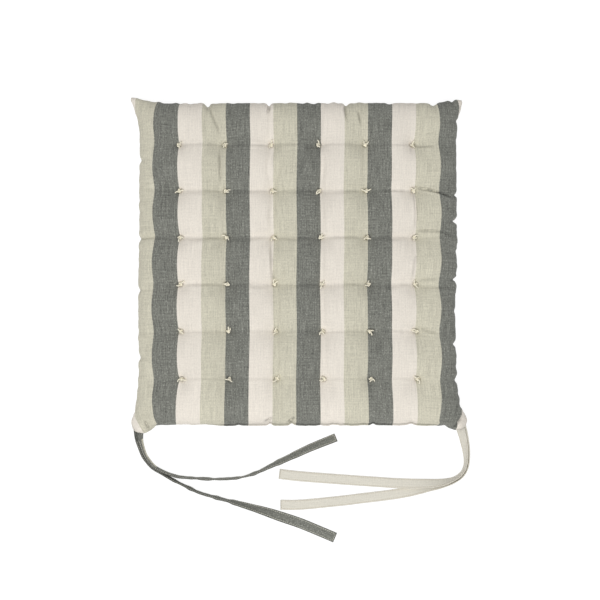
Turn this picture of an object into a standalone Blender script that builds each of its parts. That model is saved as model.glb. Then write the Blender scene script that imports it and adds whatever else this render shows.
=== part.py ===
"""Chair seat pad: two striped cotton panels over wadding, tufted with 36 strings, with four cloth ties.

Metres, +Z up. The pad lies on its underside, and the origin is the middle of that face. +Y is the front of
the seat and +X is the sitter's right. The ties leave the rear corners and lie on the surface behind the pad.
"""

import math

import bmesh
import bpy
from mathutils import Vector

# Outline: half sizes at the middle of each side, and how far the corners flare out beyond them.
HALF_X = 0.193
HALF_Y = 0.196
EAR_X = 0.009
EAR_Y = 0.006
EAR_STARTS = 0.8

# Heights over the face that the pad rests on.
CROWN = 0.040
SEAM = 0.015
EDGE_WIDTH = 0.045

# Cloth panels and the seam between them.
CLOTH = 0.0008
SEAM_GAP = 0.0010
ALLOWANCE = 0.008
WADDING_INSET = 0.012
WADDING_CLEARANCE = 0.0025
WADDING_CORNER = 0.06

# Tufting strings, on a square grid two stripes apart. It was marked out a little off square: each row stands
# further to one side than the row in front of it, and all of them a little forward.
TUFTS = 6
TUFT_PITCH = 0.4 / 7
TUFT_DRIFT = -0.024
TUFT_SHIFT = 0.0025
TUFT_DEPTH = 0.0085
ROW_VALLEY = 0.0035
UNDERSIDE_LIFT = 0.0074
CONTACT = 0.0010
HOLE_X = 0.0035
HOLE_Y = 0.0020
STRING = 0.0014
STITCH = 0.0036
KNOT = 0.0031
KNOT_FLATNESS = 0.8
TAIL = 0.0095
TAIL_SPREAD = math.radians(38)
TAIL_RISE = math.radians(19)

# Thread along the seam, and the part of the rear side that is closed by hand.
THREAD = 0.0005
CLOSING_FROM = -0.075
CLOSING_TO = 0.075
THREAD_INSET = 0.004
REAR_BAND = 0.007

# Cloth ties. A route is a list of (x, y, lean): lean is 0 where a tape lies flat, and 90 or -90 on an edge.
TIE_WIDTH = 0.0125
TIE_THICKNESS = 0.0012
TIE_SPACING = 0.008
TIE_FALL = 0.020
ROUTE_STEPS = 20
FLOOR_GAP = 0.0002

LEFT_TIE_UPPER = [
    (-0.1915, -0.2026, 74), (-0.1910, -0.2159, 74), (-0.1869, -0.2311, 73), (-0.1821, -0.2391, 73),
    (-0.1749, -0.2472, 74), (-0.1641, -0.2533, 75), (-0.1513, -0.2580, 77), (-0.1420, -0.2600, 78),
    (-0.1202, -0.2616, 78), (-0.1000, -0.2624, 79), (-0.0750, -0.2612, 80), (-0.0592, -0.2578, 79),
    (-0.0458, -0.2528, 74), (-0.0323, -0.2463, 66), (-0.0079, -0.2351, 52), (0.0165, -0.2239, 43),
    (0.0470, -0.2117, 36),
]
LEFT_TIE_LOWER = [
    (-0.1955, -0.2026, 74), (-0.1940, -0.2161, 74), (-0.1890, -0.2322, 73), (-0.1837, -0.2405, 73),
    (-0.1761, -0.2489, 74), (-0.1650, -0.2554, 75), (-0.1513, -0.2636, 77), (-0.1360, -0.2712, 78),
    (-0.1198, -0.2788, 77), (-0.0994, -0.2848, 76), (-0.0799, -0.2900, 68), (-0.0458, -0.2998, 42),
    (-0.0201, -0.3082, 14), (0.0043, -0.3165, 4), (0.0299, -0.3270, 0), (0.0458, -0.3337, 0),
]
RIGHT_TIE_UPPER = [
    (0.1988, -0.2026, -40), (0.2014, -0.2130, -50), (0.2040, -0.2251, -60), (0.2052, -0.2370, -72),
    (0.2040, -0.2478, -77), (0.1988, -0.2566, -75), (0.1890, -0.2628, -68), (0.1740, -0.2668, -44),
    (0.1519, -0.2680, -20), (0.1202, -0.2674, -8), (0.1007, -0.2662, -3), (0.0543, -0.2630, 0),
    (0.0043, -0.2592, 0), (-0.0225, -0.2562, 0),
]
RIGHT_TIE_LOWER = [
    (0.2012, -0.2026, -40), (0.2038, -0.2127, -50), (0.2064, -0.2251, -60), (0.2076, -0.2375, -72),
    (0.2062, -0.2489, -77), (0.2004, -0.2586, -75), (0.1898, -0.2652, -68), (0.1745, -0.2696, -48),
    (0.1600, -0.2724, -34), (0.1420, -0.2766, -18), (0.1202, -0.2806, -5), (0.1007, -0.2832, 0),
    (0.0763, -0.2861, 0), (0.0543, -0.2888, 0), (0.0043, -0.2936, 0), (-0.0210, -0.2938, 0),
]
# The upper right tie lies on the lower one from where they turn to here.
RIGHT_OVERLAP_ENDS = 0.105
RIGHT_OVERLAP_LIFT = 0.0018
RIGHT_OVERLAP_RAMP = 0.02

TINY = 1e-5

COLOURS = {
    "striped_cotton": ((0.72, 0.68, 0.61), 0.92),
    "wadding_fibre": ((0.85, 0.85, 0.83), 1.0),
    "ecru_string": ((0.70, 0.65, 0.55), 0.85),
    "sewing_thread": ((0.68, 0.64, 0.56), 0.8),
    "charcoal_cotton": ((0.20, 0.21, 0.19), 0.92),
    "cream_cotton": ((0.76, 0.71, 0.64), 0.92),
}


def start_scene():
    """An empty scene with one collection for the pad and one for the shapes that only cut or join."""
    for obj in list(bpy.data.objects):
        bpy.data.objects.remove(obj)
    parts = bpy.data.collections.new("chair_seat_pad")
    helpers = bpy.data.collections.new("helpers")
    for group in (parts, helpers):
        bpy.context.scene.collection.children.link(group)
    return parts, helpers


def make_material(name):
    colour, roughness = COLOURS[name]
    material = bpy.data.materials.new(name)
    material.use_nodes = True
    shader = material.node_tree.nodes["Principled BSDF"]
    shader.inputs["Base Color"].default_value = (*colour, 1)
    shader.inputs["Roughness"].default_value = roughness
    shader.inputs["Metallic"].default_value = 0
    return material


def add_object(name, data, collection, material=None):
    obj = bpy.data.objects.new(name, data)
    collection.objects.link(obj)
    if material:
        obj.data.materials.clear()
        obj.data.materials.append(material)
    return obj


# Shape of the pad


def tuft_centres():
    return [(i - (TUFTS - 1) / 2) * TUFT_PITCH for i in range(TUFTS)]


def tuft_nearness(position):
    """1 on a line of tufts, falling to 0 half a pitch away."""
    distance = min(abs(position - centre) for centre in tuft_centres())
    if distance > TUFT_PITCH / 2:
        return 0
    return math.cos(math.pi * distance / TUFT_PITCH) ** 2


def edge_rise(position, half):
    """0 at the seam, 1 from EDGE_WIDTH inwards."""
    inside = max(0, half - abs(position))
    return math.sin(math.pi / 2 * min(inside / EDGE_WIDTH, 1))


def flare(fraction):
    """How much of the ear's flare a point has, from its place along the side in half sides."""
    t = max(0, (abs(fraction) - EAR_STARTS) / (1 - EAR_STARTS))
    return t * t * (3 - 2 * t)


def placed(x, y):
    """A point of the even layout where it really is: the corners flare and the tufts are off square."""
    wide = 1 + EAR_X / HALF_X * flare(y / HALF_Y)
    long = 1 + EAR_Y / HALF_Y * flare(x / HALF_X)
    drift = TUFT_DRIFT * y * (1 - (x / HALF_X) ** 4)
    shift = TUFT_SHIFT * (1 - (y / HALF_Y) ** 4)
    return x * wide + drift, y * long + shift


def top_height(x, y):
    near_x = tuft_nearness(x)
    near_y = tuft_nearness(y)
    rise = edge_rise(x, HALF_X) * edge_rise(y, HALF_Y)
    dimple = TUFT_DEPTH * near_x * near_y + ROW_VALLEY * (near_x + near_y) / 2
    base = SEAM + SEAM_GAP / 2
    return base + (CROWN - base - dimple) * rise


def bottom_height(x, y):
    rise = edge_rise(x, HALF_X) * edge_rise(y, HALF_Y)
    lift = max(0, UNDERSIDE_LIFT * tuft_nearness(x) * tuft_nearness(y) - CONTACT)
    base = SEAM - SEAM_GAP / 2
    return base * (1 - rise) + lift * rise


# Cloth panels and wadding


def grid_lines(half, hole, per_gap, with_edge):
    """The grid's lines along one axis: the seam, the wadding's edge, each tuft hole's sides, and between."""
    stops = [-half + WADDING_INSET]
    for centre in tuft_centres():
        stops += [centre - hole, centre + hole]
    stops.append(half - WADDING_INSET)
    lines = []
    for index in range(0, len(stops), 2):
        start, end = stops[index], stops[index + 1]
        between = 1 if index in (0, len(stops) - 2) else per_gap
        lines.append(start)
        lines += [start + (end - start) * k / (between + 1) for k in range(1, between + 1)]
        lines.append(end)
    return [-half, *lines, half] if with_edge else lines


def holed_grid(per_gap, with_edge):
    """A flat grid on the panel's lines, with the quad at each tuft left out."""
    xs = grid_lines(HALF_X, HOLE_X, per_gap, with_edge)
    ys = grid_lines(HALF_Y, HOLE_Y, per_gap, with_edge)
    mesh = bmesh.new()
    bmesh.ops.create_grid(mesh, x_segments=len(xs) - 1, y_segments=len(ys) - 1, size=1)
    for vert in mesh.verts:
        column = round((vert.co.x + 1) / 2 * (len(xs) - 1))
        row = round((vert.co.y + 1) / 2 * (len(ys) - 1))
        vert.co = (xs[column], ys[row], 0)
    centres = tuft_centres()
    holes = [
        face for face in mesh.faces
        if any(abs(face.calc_center_median().x - centre) < TINY for centre in centres)
        and any(abs(face.calc_center_median().y - centre) < TINY for centre in centres)
    ]
    bmesh.ops.delete(mesh, geom=holes, context="FACES")
    # Panel and wadding are split along the same diagonals, so that the gap between them stays even.
    bmesh.ops.triangulate(mesh, faces=mesh.faces[:], quad_method="FIXED")
    return mesh


def on_seam(vert):
    return abs(vert.co.x) >= HALF_X - TINY or abs(vert.co.y) >= HALF_Y - TINY


def add_allowance(mesh, side):
    """Turns the panel's edge in: a strip of cloth along the seam, level with it."""
    outer = [edge for edge in mesh.edges if edge.is_boundary and all(map(on_seam, edge.verts))]
    made = bmesh.ops.extrude_edge_only(mesh, edges=outer)["geom"]
    turned = [item for item in made if isinstance(item, bmesh.types.BMVert)]
    places = {}
    for vert in turned:
        x, y = placed(vert.co.x, vert.co.y)
        z = SEAM + side * SEAM_GAP / 2
        places[vert] = (x * (1 - ALLOWANCE / HALF_X), y * (1 - ALLOWANCE / HALF_Y), z)
    return places


def make_cover(name, side, per_gap, collection, material):
    """One panel: side is 1 for the upper panel and -1 for the lower."""
    mesh = holed_grid(per_gap, with_edge=True)
    places = add_allowance(mesh, side)
    height = top_height if side > 0 else bottom_height
    for vert in mesh.verts:
        if vert not in places:
            x, y = placed(vert.co.x, vert.co.y)
            places[vert] = (x, y, height(vert.co.x, vert.co.y))
    for vert, place in places.items():
        vert.co = place
    mesh.normal_update()
    middle = min(mesh.faces, key=lambda face: face.calc_center_median().xy.length)
    if middle.normal.z * side < 0:
        bmesh.ops.reverse_faces(mesh, faces=mesh.faces[:])
    data = bpy.data.meshes.new(name)
    mesh.to_mesh(data)
    mesh.free()
    cover = add_object(name, data, collection, material)
    solidify = cover.modifiers.new("cloth_thickness", "SOLIDIFY")
    solidify.thickness = CLOTH
    solidify.offset = -1
    return cover


def make_wadding(collection, material):
    """The fill: a slab with a channel for each string, just inside the panels and short of the ears."""
    mesh = holed_grid(per_gap=1, with_edge=False)
    lower = mesh.verts[:]
    made = bmesh.ops.extrude_face_region(mesh, geom=mesh.faces[:])["geom"]
    upper = [item for item in made if isinstance(item, bmesh.types.BMVert)]
    sides = ((lower, bottom_height, WADDING_CLEARANCE), (upper, top_height, -WADDING_CLEARANCE))
    for verts, height, clearance in sides:
        for vert in verts:
            x, y = placed(vert.co.x, vert.co.y)
            short = 1 - WADDING_CORNER * flare(vert.co.x / HALF_X) * flare(vert.co.y / HALF_Y)
            vert.co = (x * short, y * short, height(vert.co.x, vert.co.y) + clearance)
    bmesh.ops.recalc_face_normals(mesh, faces=mesh.faces[:])
    data = bpy.data.meshes.new("wadding")
    mesh.to_mesh(data)
    mesh.free()
    return add_object("wadding", data, collection, material)


# Strings, threads and ties


def make_curve(name, points, collection, material, closed=False):
    """A curve object on a POLY spline through the points."""
    curve = bpy.data.curves.new(name, "CURVE")
    curve.dimensions = "3D"
    curve.use_fill_caps = True
    spline = curve.splines.new("POLY")
    spline.points.add(len(points) - 1)
    for point, place in zip(spline.points, points):
        point.co = (*place, 1)
    spline.use_cyclic_u = closed
    return add_object(name, curve, collection, material)


def as_mesh(obj, name, collection):
    """A helper mesh made from a curve, with its caps welded."""
    graph = bpy.context.evaluated_depsgraph_get()
    data = bpy.data.meshes.new_from_object(obj.evaluated_get(graph))
    welded = bmesh.new()
    welded.from_mesh(data)
    bmesh.ops.remove_doubles(welded, verts=welded.verts[:], dist=TINY)
    bmesh.ops.recalc_face_normals(welded, faces=welded.faces[:])
    welded.to_mesh(data)
    welded.free()
    bpy.data.objects.remove(obj)
    return add_helper(name, data, collection)


def add_helper(name, data, collection):
    helper = add_object(name, data, collection)
    helper.hide_render = True
    helper.display_type = "WIRE"
    return helper


def tuft_heights():
    """Height of the knot's middle and of the stitch under the pad."""
    knot = top_height(tuft_centres()[0], tuft_centres()[0]) + KNOT * KNOT_FLATNESS + CLOTH
    stitch = bottom_height(tuft_centres()[0], tuft_centres()[0]) - STRING / 2 - CLOTH
    return knot, stitch


def make_tuft_mesh(helpers):
    """One tuft: a stitch down through the pad and up again, a knot and two cut tails."""
    knot_height, stitch_height = tuft_heights()
    legs = [(-1, knot_height), (-1, stitch_height), (1, stitch_height), (1, knot_height)]
    string = make_curve("string", [(side * STITCH / 2, 0, z) for side, z in legs], helpers, None)
    string.data.bevel_depth = STRING / 2
    string.data.bevel_resolution = 0
    stitch = as_mesh(string, "stitch", helpers)

    shape = bmesh.new()
    bmesh.ops.create_icosphere(shape, subdivisions=1, radius=KNOT)
    for vert in shape.verts:
        vert.co.z = vert.co.z * KNOT_FLATNESS + knot_height
    data = bpy.data.meshes.new("knot")
    shape.to_mesh(data)
    shape.free()
    knot = add_helper("knot", data, helpers)

    pieces = [stitch]
    for side in (-1, 1):
        shape = bmesh.new()
        bmesh.ops.create_cone(
            shape, cap_ends=True, segments=5, radius1=STRING / 2, radius2=STRING / 2, depth=TAIL
        )
        across = side * math.sin(TAIL_SPREAD)
        direction = Vector((math.cos(TAIL_SPREAD), across, math.tan(TAIL_RISE))).normalized()
        turn = Vector((0, 0, 1)).rotation_difference(direction).to_matrix().to_4x4()
        bmesh.ops.transform(shape, matrix=turn, verts=shape.verts[:])
        middle = direction * (TAIL / 2 + STRING / 2) + Vector((0, 0, knot_height))
        bmesh.ops.translate(shape, vec=middle, verts=shape.verts[:])
        data = bpy.data.meshes.new("tail")
        shape.to_mesh(data)
        shape.free()
        pieces.append(add_helper("tail", data, helpers))
    for piece in pieces:
        union = knot.modifiers.new("tied", "BOOLEAN")
        union.operation = "UNION"
        union.object = piece
    graph = bpy.context.evaluated_depsgraph_get()
    tuft = bpy.data.meshes.new_from_object(knot.evaluated_get(graph))
    knot.modifiers.clear()
    return tuft


def make_tufts(collection, helpers, material):
    """36 strings that share one mesh, each turned its own way as hand-tied tails are."""
    mesh = make_tuft_mesh(helpers)
    for row, y in enumerate(reversed(tuft_centres()), start=1):
        for column, x in enumerate(tuft_centres(), start=1):
            tuft = add_object(f"tuft_row{row}_col{column}", mesh, collection, material)
            tuft.location = (*placed(x, y), 0)
            tuft.rotation_euler.z = math.pi * ((row * 5 + column * 3) % 2)


def outline_points(inset):
    """Points round the pad level with the seam and inset from it, anticlockwise from the rear left corner."""
    xs = grid_lines(HALF_X, HOLE_X, 1, with_edge=True)[::2]
    ys = grid_lines(HALF_Y, HOLE_Y, 1, with_edge=True)[::2]
    ring = [(x, -HALF_Y) for x in xs] + [(HALF_X, y) for y in ys[1:]]
    ring += [(x, HALF_Y) for x in reversed(xs[:-1])] + [(-HALF_X, y) for y in reversed(ys[1:-1])]
    points = []
    for x, y in ring:
        wide, long = placed(x, y)
        points.append((wide * (1 - inset / HALF_X), long * (1 - inset / HALF_Y), SEAM))
    return points


def make_seam_threads(collection, material):
    """The machine seam runs round from one end of the turning gap to the other, and hand sewing fills it."""
    ring = outline_points(THREAD_INSET)
    rear = min(point[1] for point in ring)
    in_gap = [abs(p[1] - rear) < REAR_BAND and CLOSING_FROM < p[0] < CLOSING_TO for p in ring]
    first = in_gap.index(True)
    count = sum(in_gap)
    hand = ring[first:first + count]
    machine = ring[first + count:] + ring[:first]
    for name, points in (("edge_seam_thread", machine), ("closing_seam_thread", hand)):
        thread = make_curve(name, points, collection, material)
        thread.data.bevel_depth = THREAD / 2
        thread.data.bevel_resolution = 1


def smooth_route(route, spacing):
    """Points evenly spaced along a smooth curve through the route's own points (Catmull-Rom)."""
    ends = [route[0] * 2 - route[1], *route, route[-1] * 2 - route[-2]]
    fine = []
    for a, b, c, d in zip(ends, ends[1:], ends[2:], ends[3:]):
        for step in range(ROUTE_STEPS):
            t = step / ROUTE_STEPS
            curved = (a * 2 - b * 5 + c * 4 - d) * t**2 + (b * 3 - a - c * 3 + d) * t**3
            fine.append(b + ((c - a) * t + curved) / 2)
    fine.append(route[-1])
    lengths = [0]
    for before, after in zip(fine, fine[1:]):
        lengths.append(lengths[-1] + (after.xy - before.xy).length)
    count = round(lengths[-1] / spacing)
    points = []
    index = 0
    for step in range(count + 1):
        target = lengths[-1] * step / count
        while index < len(fine) - 2 and lengths[index + 1] < target:
            index += 1
        share = (target - lengths[index]) / (lengths[index + 1] - lengths[index])
        points.append(fine[index].lerp(fine[index + 1], share))
    return points


def make_tie(name, route, collection, material, lifts=False):
    """A flat tape that lies or leans on the surface along its route, falling to it from the corner's seam."""
    path = smooth_route([Vector((x, y, lean)) for x, y, lean in route], TIE_SPACING)
    points = []
    leans = []
    travelled = 0
    for index, place in enumerate(path):
        if index:
            travelled += (place.xy - path[index - 1].xy).length
        lean = math.radians(place.z)
        z = FLOOR_GAP + TIE_WIDTH / 2 * abs(math.sin(lean)) + TIE_THICKNESS / 2 * math.cos(lean)
        if lifts and place.x > RIGHT_OVERLAP_ENDS:
            z += RIGHT_OVERLAP_LIFT * min(1, (place.x - RIGHT_OVERLAP_ENDS) / RIGHT_OVERLAP_RAMP)
        z += (SEAM - TIE_WIDTH / 2) * math.exp(-((travelled / TIE_FALL) ** 2))
        points.append((place.x, place.y, z))
        leans.append(lean)
    tie = make_curve(name, points, collection, material)
    tie.data.twist_mode = "Z_UP"
    tie.data.extrude = TIE_WIDTH / 2 - TIE_THICKNESS / 2
    tie.data.bevel_depth = TIE_THICKNESS / 2
    tie.data.bevel_resolution = 0
    for point, lean in zip(tie.data.splines[0].points, leans):
        point.tilt = math.pi / 2 - lean
    return tie


def main():
    parts, helpers = start_scene()
    materials = {name: make_material(name) for name in COLOURS}
    make_cover("top_cover", 1, 1, parts, materials["striped_cotton"])
    make_cover("bottom_cover", -1, 2, parts, materials["striped_cotton"])
    make_wadding(parts, materials["wadding_fibre"])
    make_tufts(parts, helpers, materials["ecru_string"])
    make_seam_threads(parts, materials["sewing_thread"])
    charcoal, cream = materials["charcoal_cotton"], materials["cream_cotton"]
    make_tie("left_tie_upper", LEFT_TIE_UPPER, parts, charcoal)
    make_tie("left_tie_lower", LEFT_TIE_LOWER, parts, charcoal)
    make_tie("right_tie_upper", RIGHT_TIE_UPPER, parts, cream, lifts=True)
    make_tie("right_tie_lower", RIGHT_TIE_LOWER, parts, cream)


main()
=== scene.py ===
"""Looks of the chair seat pad: relaxed cloth covers, knotted strings, sewn ties, and their woven materials."""

import math

import bpy
import numpy as np
from mathutils import Matrix, Vector


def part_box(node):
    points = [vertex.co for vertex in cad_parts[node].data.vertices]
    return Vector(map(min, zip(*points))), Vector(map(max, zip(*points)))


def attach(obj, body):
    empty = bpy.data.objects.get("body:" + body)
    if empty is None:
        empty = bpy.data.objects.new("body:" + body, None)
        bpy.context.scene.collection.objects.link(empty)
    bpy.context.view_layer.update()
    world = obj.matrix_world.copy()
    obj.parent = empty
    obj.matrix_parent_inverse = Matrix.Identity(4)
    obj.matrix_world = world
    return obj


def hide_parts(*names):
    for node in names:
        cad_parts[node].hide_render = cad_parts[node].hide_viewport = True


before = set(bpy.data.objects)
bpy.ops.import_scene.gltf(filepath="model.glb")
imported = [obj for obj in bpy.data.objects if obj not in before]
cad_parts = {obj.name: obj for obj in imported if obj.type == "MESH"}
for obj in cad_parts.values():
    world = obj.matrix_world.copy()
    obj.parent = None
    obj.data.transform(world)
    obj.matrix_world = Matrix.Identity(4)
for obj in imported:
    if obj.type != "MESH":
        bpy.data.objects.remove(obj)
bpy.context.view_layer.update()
BODY = "root"
SEED = 11

# Camera: over the pad, tipped a little towards the ties, with a long lens.
CAMERA_DISTANCE = 2.4
CAMERA_TIP = math.radians(4)
VIEW_WIDTH = 0.732
SENSOR = 0.036
AIM = Vector((0.003, -0.0445, 0.02))

# Studio: an even pale surround, and one big soft lamp behind the ties.
SURROUND_LOW = 0.08
SURROUND_HIGH = 0.69
LAMP_PLACE = Vector((-0.35, -1.45, 3.2))
LAMP_AIM = Vector((0, 0, 0))
LAMP_SIZE = 2.0
LAMP_POWER = 80
FLOOR_SIZE = 12
FLOOR_GLOW = 0.90

# Cover cloth, as a grid of square cells. A tuft stands every TUFT_CELLS cells.
TUFTS = 6
TUFT_PITCH = 0.4 / 7
CELL = 0.00295
TUFT_CELLS = 20
LEFT_CELLS = 19
RIGHT_CELLS = 20
REAR_CELLS = 21
FRONT_CELLS = 20
CLOTH = 0.0008
WADDING_CLEARANCE = 0.0042
WADDING_INSET = 12
WADDING_STRIDE = 6

# What the relaxing cloth feels. Lengths are in metres, and a push is what one step moves a free point.
STEPS = 220
PASSES = 3
LOFT = 0.0440
PUSH = 0.00011
GRIP = 0.93
BEND = 0.10
SHEAR = 0.25
SEAM_TAKE_UP = 0.962
SEAM_HEIGHT = 0.0155
TUFT_TOP = 0.0295
TUFT_UNDER = 0.0066
HOLE_GAP = 0.0028
# String of the tufts: its radius, and the least and greatest length of a cut tail.
STRING = 0.00088
TAIL_LENGTHS = (0.0040, 0.0062)
# How far the CAD knot stands out beside its string, on the side away from its tails.
KNOT_REACH = 0.0028

# Stripes, in cloth metres from the left tuft column's line. The outer ones are narrower than the rest.
STRIPE = 0.0295
STRIPE_START = -0.0010
LEFT_SEAM_STRIPE = -0.0630
RIGHT_SEAM_STRIPE = 0.3560
# The cloth is pulled outwards at the corners, by this much at the (left, right) and within this length.
FRONT_STRIPE_SHIFTS = (0.0055, 0.0085)
FRONT_SHIFT_LENGTH = 0.022
REAR_STRIPE_SHIFTS = (0.0112, 0.0105)
REAR_SHIFT_LENGTH = 0.028
UNDERSIDE_SHIFT = 0.0005
STRIPE_BOW_LEFT = 0.0008
STRIPE_BOW_RIGHT = 0.0008
STRIPE_DRAG = 0.0030

# Notches that gathers leave in the seam: (place along the side, depth, half width).
NOTCHES = {
    "left": [(0.1226, 0.0016, 0.005), (0.0275, 0.0020, 0.004), (-0.0348, 0.0016, 0.005), (-0.1140, 0.0016, 0.006)],
    "right": [
        (0.1700, 0.0016, 0.004), (0.0799, 0.0022, 0.003), (0.0485, 0.0042, 0.004), (0.0130, 0.0012, 0.004),
        (-0.0214, 0.0040, 0.003), (-0.0600, 0.0012, 0.005), (-0.0994, 0.0026, 0.004), (-0.1420, 0.0026, 0.005),
    ],
    "front": [
        (-0.1080, 0.0032, 0.0042), (-0.0348, 0.0030, 0.0038), (0.0200, 0.0010, 0.006), (0.0580, 0.0026, 0.0038),
        (0.1100, 0.0010, 0.006), (0.1630, 0.0026, 0.008), (0.1850, 0.0016, 0.003),
    ],
    "rear": [
        (-0.0700, 0.0010, 0.005), (-0.0323, 0.0016, 0.004), (-0.0067, 0.0018, 0.004), (0.0420, 0.0010, 0.005),
        (0.0900, 0.0016, 0.004), (0.1350, 0.0014, 0.006),
    ],
}
NOTCH_REACH = 0.009

# Small waves where the seam is gathered: (wave length, size).
PUCKERS = [(0.0068, 0.10), (0.0105, 0.28), (0.0160, 0.32), (0.0270, 0.30)]
PUCKER_HEIGHT = 0.0011
PUCKER_PULL = 0.0006

# Folds pressed into the upper panel: (start, way it bows, end, depth, half width).
FOLDS = [
    ((0.141, 0.0915), (0.166, 0.0905), (0.1905, 0.0790), 0.0032, 0.0012),
    ((0.141, 0.0375), (0.168, 0.0410), (0.1900, 0.0330), 0.0020, 0.0013),
    ((0.1405, 0.0900), (0.1465, 0.0660), (0.1425, 0.0400), 0.0016, 0.0012),
    ((0.1420, 0.1440), (0.1550, 0.1420), (0.1690, 0.1430), 0.0011, 0.0013),
    ((0.1460, -0.0217), (0.1580, -0.0210), (0.1710, -0.0201), 0.0011, 0.0013),
    ((0.1460, -0.0790), (0.1570, -0.0835), (0.1700, -0.0858), 0.0013, 0.0013),
    ((-0.1085, 0.1930), (-0.1040, 0.1790), (-0.0945, 0.1580), 0.0017, 0.0013),
    ((-0.0345, 0.1930), (-0.0350, 0.1895), (-0.0360, 0.1840), 0.0018, 0.0013),
    ((0.0575, 0.1930), (0.0585, 0.1860), (0.0600, 0.1740), 0.0020, 0.0013),
    ((0.0730, 0.1870), (0.0760, 0.1800), (0.0775, 0.1690), 0.0020, 0.0012),
    ((-0.0950, 0.1390), (-0.0945, 0.1200), (-0.0930, 0.0970), 0.0018, 0.0012),
    ((-0.0330, 0.0300), (-0.0300, -0.0100), (-0.0290, -0.0270), 0.0013, 0.0014),
    ((0.1400, -0.0230), (0.1420, 0.0050), (0.1450, 0.0100), 0.0010, 0.0014),
    ((-0.0305, -0.1875), (-0.0345, -0.1910), (-0.0410, -0.1935), 0.0019, 0.0013),
    ((-0.0035, -0.1875), (-0.0065, -0.1905), (-0.0120, -0.1935), 0.0019, 0.0013),
    ((-0.1790, -0.2020), (-0.1815, -0.1985), (-0.1845, -0.1905), 0.0024, 0.0012),
    ((0.1875, -0.2000), (0.1945, -0.1950), (0.1985, -0.1880), 0.0026, 0.0012),
]
ROW_FOLD_DEPTH = 0.0007
ROW_FOLD_WIDTH = 0.0013
TUFT_DIMPLE = 0.0022
TUFT_DIMPLE_WIDTH = 0.0026
SEAM_GROOVE = 0.0011

# Painted shade: how deep in a crease, tuft pit or seam the cloth counts as, which darkens its colour where shade
# would fall: 0 on the open cloth, 1 at the foot of a deep fold.
PAINTED_SHADE_STRENGTH = 0.55
DEEP_FOLD = 0.0028
ROW_FOLD_PAINTED_SHADE = 0.16
TUFT_PAINTED_SHADE = 0.45
SEAM_PAINTED_SHADE = 0.30
REAR_SEAM_PAINTED_SHADE = 0.95
SEAM_PAINTED_SHADE_WIDTH = 0.0022

# Corners that reach out: (side, end, shift out to the side, shift out at the end, how far back the tip is).
EARS = [
    ("left", "front", 0.0074, 0.0034, 0.0024), ("right", "front", 0.0030, 0.0008, 0.0036),
    ("left", "rear", 0.0038, 0.0, 0.0),
]
EAR_LENGTH = {"front": 0.026, "rear": 0.050}
EAR_WIDTH = 0.014
EAR_TIP = 0.0055
# At the rear corners the cloth is gathered round the ties.
# A lobe: (middle, radius, how much further it reaches at the corner, turn from there to the side, to the rear).
LOBES = [
    (Vector((-0.1886, -0.1932)), 0.0130, 0.16, math.radians(88), math.radians(118)),
    (Vector((0.1952, -0.1925)), 0.0113, 0.0, math.radians(100), math.radians(117)),
]
LOBE_CORNER_SHARE = 0.45
LOBE_LENGTH = 0.0225
LOBE_SWELL = 0.0052
MOUTH_PLACE = 0.0045
MOUTH_HEIGHT = 0.0046
MOUTH_WIDTH = 0.0065
REAR_ROLL = 0.0024
REAR_ROLL_RISE = 0.0036
REAR_ROLL_IN = 0.0014

# Stretches of the sides that stand further in or out: (side, middle along it, half length, how far in, reach).
DRAWN_IN = [
    ("rear", 0.035, 0.140, 0.0018, 0.012), ("right", -0.090, 0.062, 0.0030, 0.010),
    ("right", 0.010, 0.150, 0.0019, 0.010), ("left", 0.0, 0.140, -0.0011, 0.012),
]
REAR_ROLL_FROM = -0.105
REAR_ROLL_TO = 0.175

# Cloth ties. A route is a list of (x, y, lean): lean is 0 where a tape lies flat, and 90 or -90 on an edge.
TIE_WIDTH = 0.0125
TIE_THICKNESS = 0.0012
TIE_SPACING = 0.003
TIE_FALL = 0.020
TIE_SEAM = 0.015
TIE_ROOT = 0.007
# Width of the painted shade along a tape's borders and over its end.
TIE_BORDER = 0.0012
PALE_EDGE_WIDTH = 0.0058
PALE_EDGE = (0.232, 0.272)
STITCH_RADIUS = 0.00040
ROUTE_STEPS = 20
FLOOR_GAP = 0.0002
# Where a tie stands on its edge, its lean waves a little: (wave length, size in radians).
TIE_RIPPLES = [(0.031, 0.055), (0.019, 0.045), (0.011, 0.03)]
TIE_RIPPLES_FROM = 0.065
LEFT_TIE_UPPER = [
    (-0.1915, -0.2026, 74), (-0.1910, -0.2159, 74), (-0.1869, -0.2311, 73), (-0.1821, -0.2391, 73),
    (-0.1749, -0.2472, 74), (-0.1641, -0.2533, 75), (-0.1513, -0.2580, 77), (-0.1420, -0.2600, 78),
    (-0.1202, -0.2616, 78), (-0.1000, -0.2624, 79), (-0.0750, -0.2612, 80), (-0.0592, -0.2578, 79),
    (-0.0458, -0.2528, 74), (-0.0323, -0.2463, 66), (-0.0079, -0.2351, 52), (0.0165, -0.2239, 43),
    (0.0470, -0.2117, 36),
]
LEFT_TIE_LOWER = [
    (-0.1955, -0.2026, 74), (-0.1940, -0.2161, 74), (-0.1890, -0.2322, 73), (-0.1837, -0.2405, 73),
    (-0.1761, -0.2489, 74), (-0.1650, -0.2554, 75), (-0.1513, -0.2636, 77), (-0.1360, -0.2712, 78),
    (-0.1198, -0.2788, 77), (-0.0994, -0.2848, 76), (-0.0799, -0.2900, 68), (-0.0458, -0.2998, 42),
    (-0.0201, -0.3082, 14), (0.0043, -0.3165, 4), (0.0299, -0.3270, 0), (0.0458, -0.3337, 0),
]
RIGHT_TIE_UPPER = [
    (0.1988, -0.2026, -40), (0.2014, -0.2130, -50), (0.2040, -0.2251, -60), (0.2052, -0.2370, -72),
    (0.2040, -0.2478, -77), (0.1988, -0.2566, -75), (0.1890, -0.2628, -68), (0.1740, -0.2668, -44),
    (0.1519, -0.2680, -20), (0.1202, -0.2674, -8), (0.1007, -0.2662, -3), (0.0543, -0.2630, 0),
    (0.0043, -0.2592, 0), (-0.0225, -0.2562, 0),
]
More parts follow.
